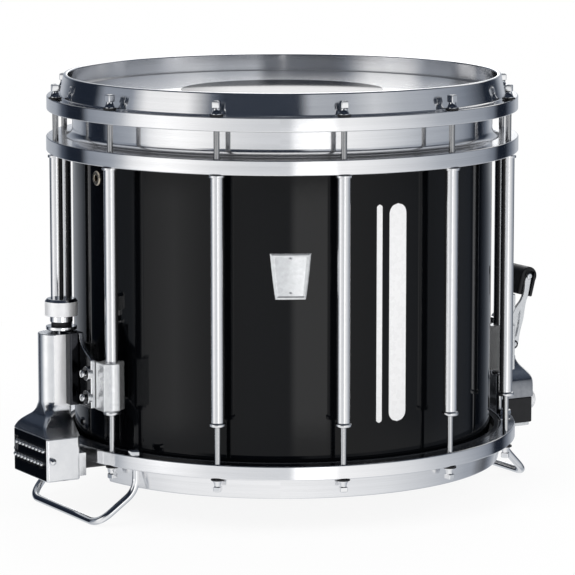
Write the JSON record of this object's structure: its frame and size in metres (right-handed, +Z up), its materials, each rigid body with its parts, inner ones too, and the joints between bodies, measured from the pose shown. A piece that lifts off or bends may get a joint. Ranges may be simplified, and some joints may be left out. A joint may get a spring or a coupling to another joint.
{
  "type": "marching snare drum",
  "caption": "Marching snare drum with a black shell, suspension ring, flanged metal hoops, tube lugs, a lever throw-off and a height adjuster on opposite sides.",
  "frame": {"origin": "floor under the drum's axis, where the guards stand", "axes": "+Z up along the shell's axis, -Y to the front of the picture, +X to the side with the lever throw-off"},
  "size_m": [0.4447, 0.396, 0.3548],
  "materials": {
    "lacquer": "black gloss lacquer over a plywood shell",
    "brushed_metal": "brushed around, satin",
    "polished_metal": "polished",
    "chrome": "bright plate",
    "cast_chrome": "bright plate on castings",
    "black_plastic": "moulded, satin",
    "head_film": "glossy woven film",
    "vent_brass": "aged",
    "strand_gut": "coated strand, satin"
  },
  "bodies": {
    "drum": {"shell": "lacquer", "vent_eyelet": "vent_brass", "suspension_ring": "brushed_metal", "batter_hoop": "brushed_metal", "snare_hoop": "brushed_metal", "batter_head": "head_film", "snare_head": "head_film", "lug_tube_01": "polished_metal", "lug_tube_02": "polished_metal", "lug_tube_03": "polished_metal", "lug_tube_04": "polished_metal", "lug_tube_05": "polished_metal", "lug_tube_06": "polished_metal", "lug_tube_07": "polished_metal", "lug_tube_08": "polished_metal", "lug_tube_09": "polished_metal", "lug_tube_10": "polished_metal", "lug_tube_11": "polished_metal", "lug_tube_12": "polished_metal", "top_tension_rod_01": "chrome", "top_tension_rod_02": "chrome", "top_tension_rod_03": "chrome", "top_tension_rod_04": "chrome", "top_tension_rod_05": "chrome", "top_tension_rod_06": "chrome", "top_tension_rod_07": "chrome", "top_tension_rod_08": "chrome", "top_tension_rod_09": "chrome", "top_tension_rod_10": "chrome", "top_tension_rod_11": "chrome", "top_tension_rod_12": "chrome", "bottom_tension_rod_01": "chrome", "bottom_tension_rod_02": "chrome", "bottom_tension_rod_03": "chrome", "bottom_tension_rod_04": "chrome", "bottom_tension_rod_05": "chrome", "bottom_tension_rod_06": "chrome", "bottom_tension_rod_07": "chrome", "bottom_tension_rod_08": "chrome", "bottom_tension_rod_09": "chrome", "bottom_tension_rod_10": "chrome", "bottom_tension_rod_11": "chrome", "bottom_tension_rod_12": "chrome", "adjuster_guard": "chrome", "throw_off_guard": "chrome", "adjuster_tube_clamp_a": "brushed_metal", "adjuster_tube_clamp_b": "brushed_metal", "throw_off_tube_clamp_a": "brushed_metal", "throw_off_tube_clamp_b": "brushed_metal", "height_adjuster_housing": "cast_chrome", "throw_off_housing": "cast_chrome"},
    "lever": {"throw_off_lever": "polished_metal", "lever_grip": "black_plastic"},
    "carriage": {"throw_off_carriage": "black_plastic"},
    "link": {"throw_off_link": "cast_chrome"},
    "clamp_knob": {"strand_clamp_knob": "chrome"},
    "adjuster_knob": {"height_knob": "chrome"},
    "adjuster_block": {"strand_block": "cast_chrome", "strand_screws": "chrome"},
    "strands": {"snare_strands": "strand_gut"}
  },
  "joints": [
    {"name": "lever_throw", "type": "hinge", "parent": "drum", "child": "lever", "pos_m": [0.19529, 0.11275, 0.1067], "axis": [-0.5, 0.866, 0], "range_deg": [0, 105]},
    {"name": "carriage_drop", "type": "slide", "parent": "drum", "child": "carriage", "axis": [0, 0, -1], "range_m": [0, 0.0138]},
    {"name": "link_swing", "type": "hinge", "parent": "carriage", "child": "link", "pos_m": [0.19226, 0.111, 0.08819], "axis": [-0.5, 0.866, 0], "range_deg": [0, 30]},
    {"name": "clamp_knob_turn", "type": "hinge", "parent": "carriage", "child": "clamp_knob", "pos_m": [0.21071, 0.12165, 0.0538], "axis": [0.866, 0.5, 0], "range_deg": [0, 540]},
    {"name": "height_knob_turn", "type": "hinge", "parent": "drum", "child": "adjuster_knob", "pos_m": [-0.17971, -0.10375, 0.1626], "axis": [0, 0, 1], "range_deg": [0, 720]},
    {"name": "strand_block_lift", "type": "slide", "parent": "drum", "child": "adjuster_block", "axis": [0, 0, -1], "range_m": [0, 0.002]},
    {"name": "strand_drop", "type": "hinge", "parent": "adjuster_block", "child": "strands", "pos_m": [-0.18707, -0.108, 0.0426], "axis": [-0.5, 0.866, 0], "range_deg": [0, 1.84]}
  ],
  "couplings": [
    {"joint": "lever_throw", "follows": "carriage_drop", "rad_per_m": 132.8},
    {"joint": "link_swing", "follows": "carriage_drop", "rad_per_m": 37.879},
    {"joint": "strand_drop", "follows": "carriage_drop", "rad_per_m": 2.3147},
    {"joint": "height_knob_turn", "follows": "strand_block_lift", "rad_per_m": 6283.2}
  ]
}
